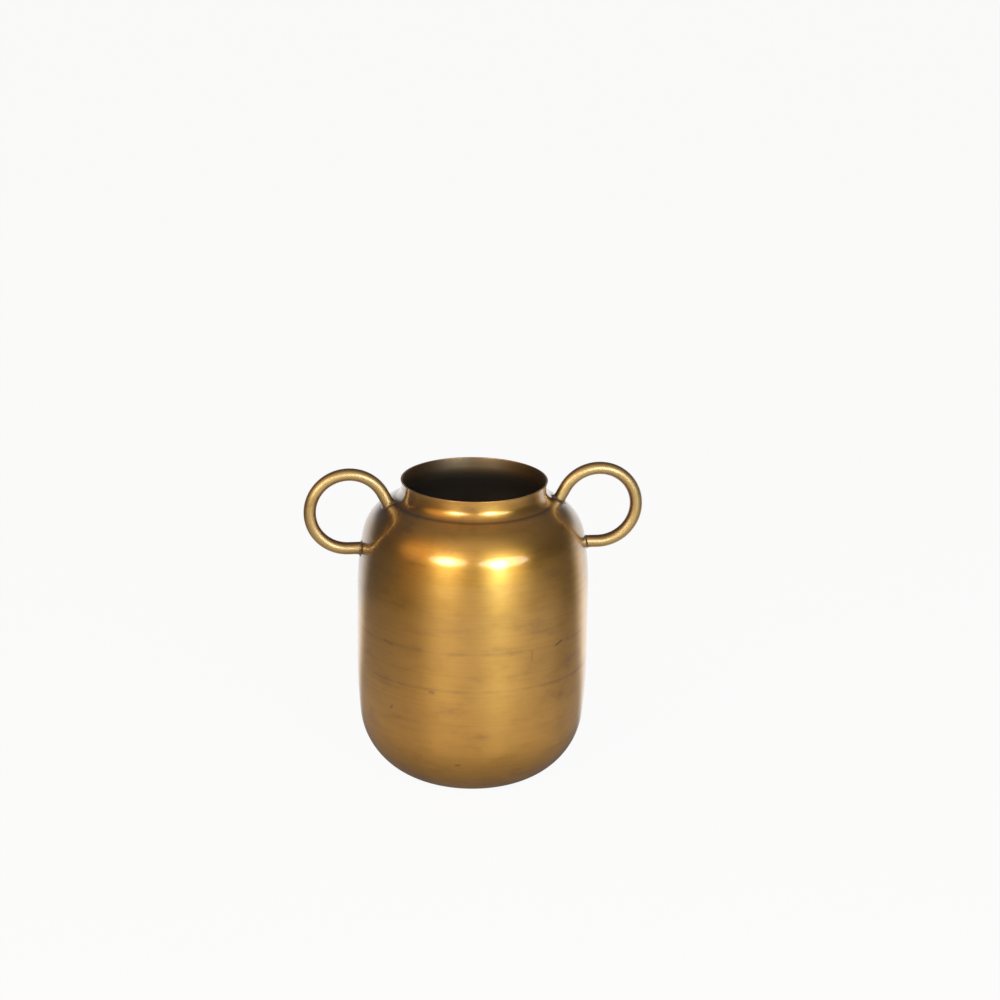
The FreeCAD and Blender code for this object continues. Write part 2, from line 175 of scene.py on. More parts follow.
@dataclass
class Section:
    """Half section of a turned wall, as points at a distance from the axis and a height."""

    points: list[Point]

    def line_to(self, across: float, up: float, steps: int = 1) -> "Section":
        """Run straight to a point.

        Args:
            across: Distance of the point from the axis.
            up: Height of the point.
            steps: Number of equal parts that the run is cut into.

        Returns:
            The section itself.
        """
        start = self.points[-1]
        for step in range(1, steps + 1):
            share = step / steps
            self.points.append((start[0] + (across - start[0]) * share, start[1] + (up - start[1]) * share))
        return self

    def arc_to(self, centre: Point, across: float, up: float, pitch: float) -> "Section":
        """Run along a circle to a point.

        Args:
            centre: Centre of the circle.
            across: Distance of the point from the axis.
            up: Height of the point.
            pitch: Longest step along the arc.

        Returns:
            The section itself.
        """
        start = self.points[-1]
        radius = math.dist(start, centre)
        first = math.atan2(start[1] - centre[1], start[0] - centre[0])
        turn = math.atan2(up - centre[1], across - centre[0]) - first
        turn = (turn + math.pi) % FULL_TURN - math.pi
        steps = max(1, math.ceil(abs(turn) * radius / pitch))
        for step in range(1, steps + 1):
            angle = first + turn * step / steps
            self.points.append((centre[0] + radius * math.cos(angle), centre[1] + radius * math.sin(angle)))
        return self


def meet(centre_a: Point, radius_a: float, centre_b: Point, radius_b: float) -> tuple[Point, Point]:
    """Find where two circles cross.

    Args:
        centre_a: Centre of the first circle.
        radius_a: Its radius.
        centre_b: Centre of the second circle.
        radius_b: Its radius.

    Returns:
        The two shared points.
    """
    gap = math.dist(centre_a, centre_b)
    along = (radius_a ** 2 - radius_b ** 2 + gap ** 2) / (2 * gap)
    off = math.sqrt(radius_a ** 2 - along ** 2)
    unit = ((centre_b[0] - centre_a[0]) / gap, (centre_b[1] - centre_a[1]) / gap)
    middle = (centre_a[0] + unit[0] * along, centre_a[1] + unit[1] * along)
    return (
        (middle[0] - unit[1] * off, middle[1] + unit[0] * off),
        (middle[0] + unit[1] * off, middle[1] - unit[0] * off),
    )


def towards(centre: Point, radius: float, place: Point) -> Point:
    """Find the point of a circle in the direction of a place.

    Args:
        centre: Centre of the circle.
        radius: Its radius.
        place: The place looked towards.

    Returns:
        The point of the circle.
    """
    share = radius / math.dist(centre, place)
    return centre[0] + (place[0] - centre[0]) * share, centre[1] + (place[1] - centre[1]) * share


def turned_piece(name: str, section: Section, segments: int) -> bpy.types.Object:
    """Draw a closed half section and spin it round the upright axis.

    Args:
        name: Name of the new piece.
        section: The half section; its last point runs back to its first, or both lie on the axis.
        segments: Number of steps of the full turn.

    Returns:
        The piece, with its normals outwards.
    """
    start = section.points[0]
    bpy.ops.object.select_all(action="DESELECT")
    bpy.ops.mesh.primitive_circle_add(vertices=3, radius=MM, location=(start[0], 0.0, start[1]))
    piece = bpy.context.object
    piece.name = piece.data.name = name
    place_in_mesh(piece)
    with Editing(piece):
        bpy.ops.mesh.select_all(action="SELECT")
        bpy.ops.mesh.merge(type="CENTER")
        here = start
        for place in section.points[1:]:
            bpy.ops.mesh.extrude_region_move(
                TRANSFORM_OT_translate={"value": (place[0] - here[0], 0.0, place[1] - here[1])}
            )
            here = place
        bpy.ops.mesh.select_all(action="SELECT")
        bpy.ops.mesh.spin(steps=segments, angle=FULL_TURN, center=AXIS_CENTRE, axis=(0.0, 0.0, 1.0))
        bpy.ops.mesh.select_all(action="SELECT")
        bpy.ops.mesh.remove_doubles(threshold=WELD)
        bpy.ops.mesh.normals_make_consistent(inside=False)
    return piece


def finish_piece(piece: bpy.types.Object, nodes: Sequence[str], smooth_under: float) -> None:
    """Args:
        piece: The finished object.
        nodes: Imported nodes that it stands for.
        smooth_under: Angle in degrees under which edges are shaded smooth.
    """
    only(piece)
    bpy.ops.object.shade_smooth_by_angle(angle=math.radians(smooth_under))
    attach(piece, ROOT)
    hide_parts(*nodes)
    LOG.info("%s: %d faces", piece.name, len(piece.data.polygons))


# The body: two spun shells and the braze between them.


@dataclass(frozen=True)
class BodySizes:
    """Sizes that both shells share. A depth of zero is the outside of the sheet."""

    height: float = 0.2
    wall: float = 0.001
    neck_radius: float = 0.047
    lip_flare: float = 0.0005
    lip_radius: float = 0.018
    hollow_radius: float = 0.008
    dome_radius: float = 0.113
    dome_reach: float = 0.047
    dome_drop: float = 0.0006
    body_radius: float = 0.075
    corner_radius: float = 0.028
    side_radius: float = 0.204
    shoulder_drop: float = 0.0717
    seam_height: float = 0.082
    seam_face_width: float = 0.0016
    seam_root_width: float = 0.0008
    seam_crown: float = 0.0002
    taper_drop: float = 0.003
    bowl_side_radius: float = 0.313
    bowl_corner_radius: float = 0.048
    foot_curve_radius: float = 0.031
    foot_radius: float = 0.031
    ring_width: float = 0.0045
    dish_height: float = 0.0015
    dish_bend_radius: float = 0.004
    pitch: float = 0.0015
    side_steps: int = 24
    floor_steps: int = 12

    @property
    def dome_centre(self) -> Point:
        """Centre of the dome's curve."""
        return self.neck_radius - self.dome_reach, self.height - self.dome_drop - self.dome_radius

    @property
    def side_top(self) -> float:
        """Height at which the side is upright."""
        return self.height - self.shoulder_drop

    @property
    def side_centre(self) -> Point:
        """Centre of the slow curve of the side under the shoulder."""
        return self.body_radius - self.side_radius, self.side_top

    def upper(self, depth: float) -> Section:
        """Draw the surface of the upper body from the rim down to where its side is upright.

        Args:
            depth: Distance below the outside of the sheet.

        Returns:
            The open section.
        """
        neck = self.neck_radius - depth
        lip_radius = self.lip_radius + depth
        lip_turn = math.acos(1 - self.lip_flare / lip_radius)
        lip_end = self.height - lip_radius * math.sin(lip_turn)
        dome = self.dome_centre
        dome_radius = self.dome_radius - depth
        hollow_radius = self.hollow_radius + depth
        across = neck + hollow_radius
        up = dome[1] + math.sqrt((dome_radius + hollow_radius) ** 2 - (across - dome[0]) ** 2)
        hollow = (across, up)
        side_radius = self.side_radius - depth
        corner = max(
            meet(self.side_centre, self.side_radius - self.corner_radius, dome, self.dome_radius - self.corner_radius)
        )
        section = Section([(neck + self.lip_flare, self.height)])
        section.arc_to((neck + lip_radius, lip_end), neck, lip_end, self.pitch / 2)
        section.line_to(neck, up)
        section.arc_to(hollow, *towards(dome, dome_radius, hollow), self.pitch / 3)
        section.arc_to(dome, *towards(dome, dome_radius, corner), self.pitch)
        section.arc_to(corner, *towards(self.side_centre, side_radius, corner), self.pitch)
        section.arc_to(self.side_centre, self.body_radius - depth, self.side_top, self.pitch)
        return section

    def lower(self, depth: float, top: float) -> Section:
        """Draw the surface of the lower body from a height near the seam to the middle of the base.

        Args:
            depth: Distance below the outside of the sheet.
            top: Height that the surface starts at.

        Returns:
            The open section.
        """
        wall = self.body_radius - depth
        taper = self.seam_height - self.taper_drop
        side = (self.body_radius - self.bowl_side_radius, taper)
        foot = (self.foot_radius, self.foot_curve_radius)
        corner = max(
            meet(side, self.bowl_side_radius - self.bowl_corner_radius, foot,
                 self.bowl_corner_radius - self.foot_curve_radius),
            key=lambda place: place[1],
        )
        corner_radius = self.bowl_corner_radius - depth
        bend = self.dish_bend_radius
        step_across = self.foot_radius - self.ring_width
        turn = math.acos((2 * bend - self.dish_height) / (2 * bend))
        dish = (step_across - 2 * bend * math.sin(turn), self.dish_height - bend)
        step = (step_across, bend)
        section = Section([(wall, top)])
        section.line_to(wall, taper)
        section.arc_to(side, *towards(side, self.bowl_side_radius - depth, corner), self.pitch)
        section.arc_to(corner, *towards(corner, corner_radius, foot), self.pitch)
        section.arc_to(foot, foot[0], depth, self.pitch)
        section.line_to(step_across, depth, 3)
        section.arc_to(step, *towards(step, bend - depth, dish), self.pitch / 4)
        section.arc_to(dish, dish[0], self.dish_height + depth, self.pitch / 4)
        section.line_to(0.0, self.dish_height + depth, self.floor_steps)
        return section


@dataclass
class Shell:
    """One spun shell, with bright metal outside and dark metal inside."""

    name: str
    node: str
    sizes: BodySizes
    outside: bpy.types.Material
    inside: bpy.types.Material
    segments: int = 256
    smooth_under: float = 35.0

    def section(self) -> Section:
        """Closed half section of the wall."""
        raise NotImplementedError

    def is_inside(self, centre: Vector, normal: Vector) -> bool:
        """Tell whether a face lies on the inner wall."""
        raise NotImplementedError

    def build(self) -> bpy.types.Object:
        """Spin the wall and dress both of its sides.

        Returns:
            The finished piece.
        """
        piece = turned_piece(self.name, self.section(), self.segments)
        self.ease(piece)
        piece.data.materials.append(self.outside)
        piece.data.materials.append(self.inside)
        with Editing(piece, "FACE") as edit:
            edit.pick_faces(self.is_inside)
            piece.active_material_index = 1
            bpy.ops.object.material_slot_assign()
        finish_piece(piece, [self.node], self.smooth_under)
        return piece

    def ease(self, piece: bpy.types.Object) -> None:
        """Round the edges that stay in sight; a shell has none unless it says so."""


@dataclass
class UpperShell(Shell):
    """Neck, shoulder and upper side, with a raw rim."""

    rim_easing: float = 0.0003
    rim_steps: int = 4

    def section(self) -> Section:
        """Draw the wall from the seam up to the rim and down again inside.

        Returns:
            The closed half section.
        """
        sizes = self.sizes
        low = sizes.seam_height + sizes.seam_face_width / 2
        low_inside = sizes.seam_height + sizes.seam_root_width / 2
        outer = sizes.upper(0.0).line_to(sizes.body_radius, low, sizes.side_steps)
        inner = sizes.upper(sizes.wall).line_to(sizes.body_radius - sizes.wall, low_inside, sizes.side_steps)
        return Section(outer.points + inner.points[::-1] + outer.points[:1])

    def is_inside(self, centre: Vector, normal: Vector) -> bool:
        """Tell whether a face lies on the inner wall."""
        return centre.z < self.sizes.height - self.rim_easing and centre.x * normal.x + centre.y * normal.y < 0

    def ease(self, piece: bpy.types.Object) -> None:
        """Round the two edges of the rim."""
        with Editing(piece, "EDGE") as edit:
            edit.pick_edges(self.is_rim)
            bpy.ops.mesh.bevel(offset=self.rim_easing, segments=self.rim_steps, profile=0.5, affect="EDGES")

    def is_rim(self, start: Vector, end: Vector) -> bool:
        """Tell whether an edge runs round the rim."""
        level = min(start.z, end.z) > self.sizes.height - MM / 100
        return level and abs(start.xy.length - end.xy.length) < MM / 100


@dataclass
class LowerShell(Shell):
    """Lower side, bowl and dished base."""

    floor_tilt: float = 0.1

    def section(self) -> Section:
        """Draw the wall from the base up to the seam and down again inside.

        Returns:
            The closed half section.
        """
        sizes = self.sizes
        outer = sizes.lower(0.0, sizes.seam_height - sizes.seam_face_width / 2)
        inner = sizes.lower(sizes.wall, sizes.seam_height - sizes.seam_root_width / 2)
        return Section(outer.points[::-1] + inner.points)

    def is_inside(self, centre: Vector, normal: Vector) -> bool:
        """Tell whether a face lies on the inner wall or on the inner floor.

        Args:
            centre: Middle of the face.
            normal: Normal of the face.

        Returns:
            Whether it does.
        """
        sizes = self.sizes
        inward = centre.x * normal.x + centre.y * normal.y <= 0
        return normal.z > self.floor_tilt or inward and centre.z > sizes.dish_height + sizes.wall / 2


@dataclass
class Seam:
    """Braze between the two shells: flush outside, with a low crown inside."""

    name: str
    node: str
    sizes: BodySizes
    outside: bpy.types.Material
    segments: int = 256
    smooth_under: float = 35.0

    def build(self) -> bpy.types.Object:
        """Spin the filler of the V.

        Returns:
            The finished piece.
        """
        sizes = self.sizes
        face = sizes.seam_face_width / 2
        root = sizes.seam_root_width / 2
        inner = sizes.body_radius - sizes.wall
        middle = sizes.seam_height
        crown_radius = (root ** 2 + sizes.seam_crown ** 2) / (2 * sizes.seam_crown)
        section = Section([(sizes.body_radius, middle + face)])
        section.line_to(sizes.body_radius, middle - face, 4)
        section.line_to(inner, middle - root, 2)
        section.arc_to((inner + crown_radius - sizes.seam_crown, middle), inner, middle + root, MM / 10)
        section.line_to(sizes.body_radius, middle + face, 2)
        piece = turned_piece(self.name, section, self.segments)
        piece.data.materials.append(self.outside)
        finish_piece(piece, [self.node], self.smooth_under)
        return piece


# The handles and the beads of braze at their feet.


@dataclass
class RingHandle:
    """Round rod bent into a ring, with two straight legs coped to the body."""

    sizes: BodySizes
    metal: bpy.types.Material
    rod_radius: float = 0.004
    ring_radius: float = 0.0249
    middle: Point = (0.0812, 0.1804)
    leg_lean: float = math.radians(28.0)
    overrun: float = 0.003
    sides: int = 56
    bend_steps: int = 132
    leg_steps: int = 5
    tool_segments: int = 192
    smooth_under: float = 40.0

    def ends(self) -> tuple[Vector, Vector, Vector]:
        """Find where the legs start and end, inside the wall by the overrun.

        Returns:
            The start of the lower leg, and the top and the foot of the upper one.
        """
        sizes = self.sizes
        across, up = self.middle
        low = up - self.ring_radius
        sunk = sizes.side_radius - self.overrun
        start = sizes.side_centre[0] + math.sqrt(sunk ** 2 - (low - sizes.side_top) ** 2)
        top = (across - self.ring_radius * math.cos(self.leg_lean), up + self.ring_radius * math.sin(self.leg_lean))
        slope = (-math.sin(self.leg_lean), -math.cos(self.leg_lean))
        gap = (top[0] - sizes.dome_centre[0], top[1] - sizes.dome_centre[1])
        along = gap[0] * slope[0] + gap[1] * slope[1]
        off = gap[0] ** 2 + gap[1] ** 2 - along ** 2
        run = -along - math.sqrt((sizes.dome_radius - self.overrun) ** 2 - off)
        end = (top[0] + slope[0] * run, top[1] + slope[1] * run)
        return Vector((start, 0.0, low)), Vector((top[0], 0.0, top[1])), Vector((end[0], 0.0, end[1]))

    def cutter(self) -> bpy.types.Object:
        """Turn the upper body as a solid, to cope the rod with.

        Returns:
            The solid.
        """
        sizes = self.sizes
        section = Section([(0.0, sizes.height)] + sizes.upper(0.0).points)
        section.line_to(sizes.body_radius, sizes.seam_height).line_to(0.0, sizes.seam_height)
        return turned_piece("coping_tool", section, self.tool_segments)

    def bent_rod(self, name: str) -> bpy.types.Object:
        """Bend the rod of the right-hand handle and cope both ends.

        Args:
            name: Name of the piece.

        Returns:
            The coped rod.
        """
        start, top, end = self.ends()
        across, up = self.middle
        bpy.ops.object.select_all(action="DESELECT")
        bpy.ops.mesh.primitive_circle_add(
            vertices=self.sides, radius=self.rod_radius, location=start, rotation=(0.0, math.pi / 2, 0.0),
            fill_type="NGON",
        )
        piece = bpy.context.object
        piece.name = piece.data.name = name
        place_in_mesh(piece)
        with Editing(piece, "FACE"):
            bpy.ops.mesh.select_all(action="SELECT")
            lower = (across - start.x) / self.leg_steps
            for _ in range(self.leg_steps):
                bpy.ops.mesh.extrude_region_move(TRANSFORM_OT_translate={"value": (lower, 0.0, 0.0)})
            bpy.ops.mesh.spin(
                steps=self.bend_steps, angle=1.5 * math.pi - self.leg_lean, center=(across, 0.0, up),
                axis=(0.0, 1.0, 0.0),
            )
            for _ in range(self.leg_steps):
                bpy.ops.mesh.extrude_region_move(TRANSFORM_OT_translate={"value": (end - top) / self.leg_steps})
            bpy.ops.mesh.select_all(action="SELECT")
            bpy.ops.mesh.remove_doubles(threshold=WELD / 2)
            bpy.ops.mesh.normals_make_consistent(inside=False)
        tool = self.cutter()
        apply_modifier(piece, "BOOLEAN", operation="DIFFERENCE", object=tool, solver="EXACT")
        bpy.data.objects.remove(tool)
        return piece

    def build(self) -> list[bpy.types.Object]:
        """Make the right-hand ring, and the left-hand one as its copy turned half round.

        Returns:
            The two pieces.
        """
        right = self.bent_rod("right_ring")
        left = right.copy()
        left.data = right.data.copy()
        left.name = left.data.name = "left_ring"
        bpy.context.collection.objects.link(left)
        with Editing(left):
            bpy.ops.mesh.select_all(action="SELECT")
            bpy.ops.transform.rotate(value=math.pi, orient_axis="Z", center_override=AXIS_CENTRE)
        for piece, side in ((right, Side.RIGHT), (left, Side.LEFT)):
            piece.data.materials.append(self.metal)
            finish_piece(piece, [f"{side.name.lower()}_handle"], self.smooth_under)
        return [right, left]


@dataclass
class FootBead:
    """Braze around one foot of a handle, filed but still a little uneven."""

    side: Side
    foot: Foot
    metal: bpy.types.Material
    grain: float = 0.00014
    softening: int = 3
    unevenness: float = 0.0005
    lump: float = 0.0032
    level: float = 0.45
    smooth_under: float = 180.0

    def build(self) -> bpy.types.Object:
        """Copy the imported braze, give it an even skin and rough it up.

        Returns:
            The finished piece.
        """
        word = f"{self.side.name.lower()}_{self.foot.value}"
        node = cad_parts[f"{word}_braze"]
        piece = node.copy()
        piece.data = node.data.copy()
        piece.parent = None
        for key in list(piece.keys()):
            del piece[key]
        piece.name = piece.data.name = f"{word}_bead"
        bpy.context.collection.objects.link(piece)
        with Editing(piece):
            bpy.ops.mesh.select_all(action="SELECT")
            bpy.ops.mesh.customdata_custom_splitnormals_clear()
            bpy.ops.mesh.remove_doubles(threshold=WELD)
            bpy.ops.mesh.normals_make_consistent(inside=False)
        apply_modifier(piece, "REMESH", mode="VOXEL", voxel_size=self.grain)
        apply_modifier(piece, "SMOOTH", factor=0.5, iterations=self.softening)
        lumps = bpy.data.textures.new(f"{word}_lumps", "CLOUDS")
        lumps.noise_scale = self.lump
        lumps.noise_depth = 1
        apply_modifier(
            piece, "DISPLACE", texture=lumps, texture_coords="LOCAL", strength=self.unevenness, mid_level=self.level
        )
        bpy.data.textures.remove(lumps)
        piece.data.materials.clear()
        piece.data.materials.append(self.metal)
        finish_piece(piece, [node.name], self.smooth_under)
        return piece


# Finishes.


class Wire:
    """A number that runs through a node tree; Python's operators on it add Math nodes."""

    def __init__(self, bench: "Bench", socket: bpy.types.NodeSocket) -> None:
        """Hold the socket that the number comes out of.

        Args:
            bench: The node tree that it runs through.
            socket: The output socket.
        """
        self.bench = bench
        self.socket = socket

    def worked(self, operation: str, *others: object, clamp: bool = False) -> "Wire":
        """Put the number through a Math node, with the others after it."""
        values = dict(enumerate((self, *others)))
        return self.bench.wire("ShaderNodeMath", {"operation": operation, "use_clamp": clamp}, values)

    def __add__(self, other: object) -> "Wire":
        """Add."""
        return self.worked("ADD", other)

    __radd__ = __add__

    def __sub__(self, other: object) -> "Wire":
        """Take away."""
        return self.worked("SUBTRACT", other)

    def __rsub__(self, other: float) -> "Wire":
        """Take this from a plain number."""
        return (self * -1.0).worked("ADD", other)

    def __mul__(self, other: object) -> "Wire":
        """Multiply."""
        return self.worked("MULTIPLY", other)

    __rmul__ = __mul__

    def __pow__(self, other: object) -> "Wire":
        """Raise to a power."""
        return self.worked("POWER", other)

    def clamped(self) -> "Wire":
        """Keep the number between 0 and 1."""
        return self.worked("ADD", 0.0, clamp=True)

    def step(self, low: float, high: float) -> "Wire":
        """Rise smoothly from 0 to 1 between two values, or fall if low is the larger.

        Args:
            low: Value that gives 0.
            high: Value that gives 1.

        Returns:
            The smooth step.
        """
        settings = {"interpolation_type": "SMOOTHSTEP", "clamp": True}
        values = {"Value": self, "From Min": low, "From Max": high, "To Min": 0.0, "To Max": 1.0}
        return self.bench.wire("ShaderNodeMapRange", settings, values)


class Bench:
    """Node tree in which one finish is put together."""

    def __init__(self, tree: bpy.types.NodeTree) -> None:
        """Start with an empty tree.

        Args:
            tree: The node tree to fill.
        """
        tree.nodes.clear()
        self.tree = tree

    def node(self, kind: str, settings: dict[str, object] | None = None,
             values: dict[object, object] | None = None) -> bpy.types.Node:
        """Add a node.

        Args:
            kind: Type of the node.
            settings: Its properties, set before its sockets.
            values: Values or links of its sockets, by name or number.

        Returns:
            The node.
        """
        made = self.tree.nodes.new(kind)
        for name, value in (settings or {}).items():
            setattr(made, name, value)
        for name, value in (values or {}).items():
            socket = made.inputs[name]
            if isinstance(value, Wire):
                value = value.socket
            if isinstance(value, bpy.types.NodeSocket):
                self.tree.links.new(value, socket)
            else:
                socket.default_value = value
        return made

    def wire(self, kind: str, settings: dict[str, object] | None = None,
             values: dict[object, object] | None = None, output: object = 0) -> Wire:
        """Add a node and take a number from one of its outputs."""
        return Wire(self, self.node(kind, settings, values).outputs[output])

    def spot(self) -> "Spot":
        """Find the place on the object."""
        vector = self.node("ShaderNodeTexCoord").outputs["Object"]
        parts = self.node("ShaderNodeSeparateXYZ", None, {0: vector})
        return Spot(self, vector, *(Wire(self, socket) for socket in parts.outputs))

    def vector(self, *parts: object) -> bpy.types.NodeSocket:
        """Make a vector from three numbers."""
        return self.node("ShaderNodeCombineXYZ", None, dict(enumerate(parts))).outputs[0]

    def noise(self, where: bpy.types.NodeSocket, scale: float, detail: float, roughness: float) -> Wire:
        """Smooth noise between 0 and 1, with its scale in cycles per unit of the vector."""
        values = {"Vector": where, "Scale": scale, "Detail": detail, "Roughness": roughness}
        return self.wire("ShaderNodeTexNoise", {"noise_dimensions": "3D"}, values)

    def mixed(self, share: object, first: object, second: object) -> bpy.types.NodeSocket:
        """Mix two colours.

        Args:
            share: How much of the second.
            first: First colour, plain or linked.
            second: Second colour, plain or linked.

        Returns:
            The mixed colour.
        """
        colours = [(*colour, 1.0) if isinstance(colour, tuple) else colour for colour in (first, second)]
        settings = {"data_type": "RGBA", "blend_type": "MIX", "clamp_factor": True}
        made = self.node("ShaderNodeMix", settings, {0: share, 6: colours[0], 7: colours[1]})
        return made.outputs[2]

    def bumped(self, height: Wire, depth: float) -> bpy.types.NodeSocket:
        """Turn a height between 0 and 1 into a normal; the depth in metres is that of a height of 1."""
        return self.node("ShaderNodeBump", None, {"Strength": 1.0, "Distance": depth, "Height": height}).outputs[0]

    def measured(self, operation: str, first: object, second: object = AXIS_CENTRE) -> Wire:
        """Put one or two vectors through a Vector Math node that gives a number."""
        return self.wire("ShaderNodeVectorMath", {"operation": operation}, {0: first, 1: second}, "Value")

    def to_surface(self, kind: str, values: dict[object, object], output: str = "ShaderNodeOutputMaterial") -> None:
        """Add a shader and join it to an output node."""
        self.node(output, None, {"Surface": self.node(kind, None, values).outputs[0]})


@dataclass(frozen=True)
class Grain:
    """Noise drawn out along the strokes of a brush, in cycles per metre."""

    along: float
    over: float
    detail: float
    roughness: float


@dataclass(frozen=True)
class Spot:
    """Place on the object, as a vector and as its three numbers."""

    bench: Bench
    vector: bpy.types.NodeSocket
    across: Wire
    deep: Wire
    up: Wire

    def grained(self, over: Wire, grain: Grain) -> Wire:
        """Noise between 0 and 1, drawn out round the axis; over is the distance across the strokes."""
        where = self.bench.vector(self.across * grain.along, self.deep * grain.along, over * grain.over)
        return self.bench.noise(where, 1.0, grain.detail, grain.roughness)


def new_finish(name: str) -> tuple[bpy.types.Material, Bench]:
    """Start a material with an empty node tree."""
    made = bpy.data.materials.new(name)
    made.use_nodes = True
    return made, Bench(made.node_tree)


class Brushing(Enum):
    """How the brush ran over the metal."""

    ROUND_DOME = "around the axis, over the shoulder"
    ROUND_BOWL = "around the axis, over the bowl"
    ROD = "rubbed, no one way"
    FILED = "filed, no one way"


@dataclass(frozen=True)
class Mark:
    """Small scratch or blot on the body, or a patch of painted shade, as a short thick line."""

    start: Place
    end: Place
    width: float
    depth: float


@dataclass(frozen=True)
class FootShade:
    """Painted shade around one foot of a handle, given for the right-hand one."""

    across: float
    up: float
    reach: float


@dataclass(frozen=True)
class SatinBrass:
    """Satin antique brass under clear lacquer, with painted shade round the handle feet and on the rods."""

    name: str
    brushing: Brushing
    bright: Colour = (0.91, 0.505, 0.085)
    dull: Colour = (0.74, 0.385, 0.06)
    # Colour of tarnish, and of the painted shade round the handle feet and on the rods.
    tarnish_and_shade: Colour = (0.31, 0.16, 0.065)
    # Colour of the painted shade between each handle's two feet.
    shade_patch_colour: Colour = (0.13, 0.09, 0.055)
    roughness: float = 0.35
    anisotropy: float = 0.6
    lacquer: float = 1.0
    lacquer_roughness: float = 0.1
    lacquer_ior: float = 1.78
    strokes: Grain = Grain(9.0, 900.0, 2.0, 0.6)
    hairlines: Grain = Grain(24.0, 3600.0, 1.0, 0.5)
    rod_strokes: Grain = Grain(150.0, 150.0, 1.0, 0.4)
    rod_hairlines: Grain = Grain(700.0, 700.0, 1.0, 0.5)
    body_depth: float = 0.000006
    rod_depth: float = 0.0000007
    blot_flatness: float = 2.2
    blots: float = 42.0
    clouds: float = 15.0
    marks: tuple[Mark, ...] = ()
    # Painted shade round each foot of the handles.
    feet: tuple[FootShade, ...] = (FootShade(0.0554, 0.1849, 0.0155), FootShade(0.0745, 0.1555, 0.0125))
    # Patch of painted shade on the body between each handle's two feet.
    shade_patch: Mark = Mark((0.0554, 0.0, 0.1849), (0.0745, 0.0, 0.155), 0.052, 0.7)
    shade_patch_waver: float = 0.02
    seam_height: float = 0.082
    polish_height: float = 0.1076
    crease_height: float = 0.187
    line_waver: float = 0.002
    ring_middle: Point = (0.0812, 0.1804)
    ring_radius: float = 0.0249

    @property
    def round_body(self) -> bool:
        """Whether it is brushed round the axis of the vase."""
        return self.brushing in (Brushing.ROUND_DOME, Brushing.ROUND_BOWL)

    def material(self) -> bpy.types.Material:
        """Make the material.

        Returns:
            The material.
        """
        made, bench = new_finish(self.name)
        spot = bench.spot()
        flat = bench.vector(spot.across, spot.deep, spot.up * self.blot_flatness)
        blots = bench.noise(flat, self.blots, 4.0, 0.6)
        cloud = bench.noise(flat, self.clouds, 2.0, 0.5)
        strokes, hairlines = self.brushed(spot)
        grain = strokes.step(0.42, 0.8) * (0.4 if self.round_body else 0.15)
        dullness = blots.step(0.42, 0.66) * (0.5 if self.round_body else 0.25) + grain + cloud.step(0.4, 0.7) * 0.35
        stain_and_shade = blots.step(0.56, 0.78) * cloud.step(0.42, 0.6) * 0.45
        if self.round_body:
            stain_and_shade = self.body_stain_and_shade(spot, stain_and_shade, blots, cloud)
        elif self.brushing is Brushing.ROD:
            stain_and_shade = self.rod_stain_and_shade(spot, stain_and_shade, cloud)
        colour = bench.mixed(dullness.clamped(), self.bright, self.dull)
        # Tarnish, mixed with painted shade round the handle feet and on the rods.
        colour = bench.mixed(stain_and_shade.clamped(), colour, self.tarnish_and_shade)
        # Painted shade: the body darkens between each handle's two feet, on both sides.
        if self.round_body:
            uneven = spot.up + (cloud - 0.5) * self.shade_patch_waver
            folded = bench.vector(spot.across.worked("ABSOLUTE"), spot.deep, uneven)
            colour = bench.mixed(self.dab(bench, folded, self.shade_patch), colour, self.shade_patch_colour)
        depth = self.body_depth if self.round_body else self.rod_depth
        bench.to_surface("ShaderNodeBsdfPrincipled", {
            "Base Color": colour,
            "Metallic": 1.0,
            "Roughness": self.roughness + (strokes - 0.5) * 0.12 + (cloud - 0.5) * 0.1,
            "Anisotropic": self.anisotropy if self.round_body else 0.0,
            "Anisotropic Rotation": QUARTER,
            "Coat Weight": self.lacquer,
            "Coat Roughness": self.lacquer_roughness,
            "Coat IOR": self.lacquer_ior,
            "Normal": bench.bumped(strokes * 0.6 + hairlines * 0.4, depth),
        })
        return made

    def brushed(self, spot: Spot) -> tuple[Wire, Wire]:
        """Draw the strokes of the brush, round the axis on the body and without a way on rod and filler.

        Args:
            spot: Place on the object.

        Returns:
            The strokes and the hairlines between them.
        """
        if self.round_body:
            out = (spot.across * spot.across + spot.deep * spot.deep) ** 0.5
            over = spot.up - out if self.brushing is Brushing.ROUND_DOME else spot.up + out
            return spot.grained(over, self.strokes), spot.grained(over, self.hairlines)
        return spot.grained(spot.up, self.rod_strokes), spot.grained(spot.up, self.rod_hairlines)

    def body_stain_and_shade(self, spot: Spot, stain_and_shade: Wire, blots: Wire, cloud: Wire) -> Wire:
        """Add the faint rings and the scratches of the body, and painted shade round the handle feet.

        Args:
            spot: Place on the object.
            stain_and_shade: The stain that is there already.
            blots: Noise of the size of a blot.
            cloud: Noise of the size of a cloud.

        Returns:
            The whole stain, with the painted shade.
        """
        uneven = spot.up + (cloud - 0.5) * self.line_waver
        stain_and_shade = stain_and_shade + self.ring(uneven, self.seam_height, 1.6 * MM, blots) * 0.3
        stain_and_shade = stain_and_shade + self.ring(uneven, self.polish_height, 2.2 * MM, blots) * 0.25
        if self.brushing is Brushing.ROUND_DOME:
            stain_and_shade = stain_and_shade + self.ring(uneven, self.crease_height, 1.1 * MM, 1.0 - blots * 0.4) * 0.75
        for mark in self.marks:
            stain_and_shade = stain_and_shade + self.dab(spot.bench, spot.vector, mark)
        # Painted shade round the handle feet, on both sides.
        for foot in self.feet:
            aside = (spot.across.worked("ABSOLUTE") - foot.across) ** 2.0
            gap = (aside + spot.deep * spot.deep + (spot.up - foot.up) ** 2.0) ** 0.5
            stain_and_shade = stain_and_shade + gap.step(foot.reach, foot.reach * 0.5)
        return stain_and_shade

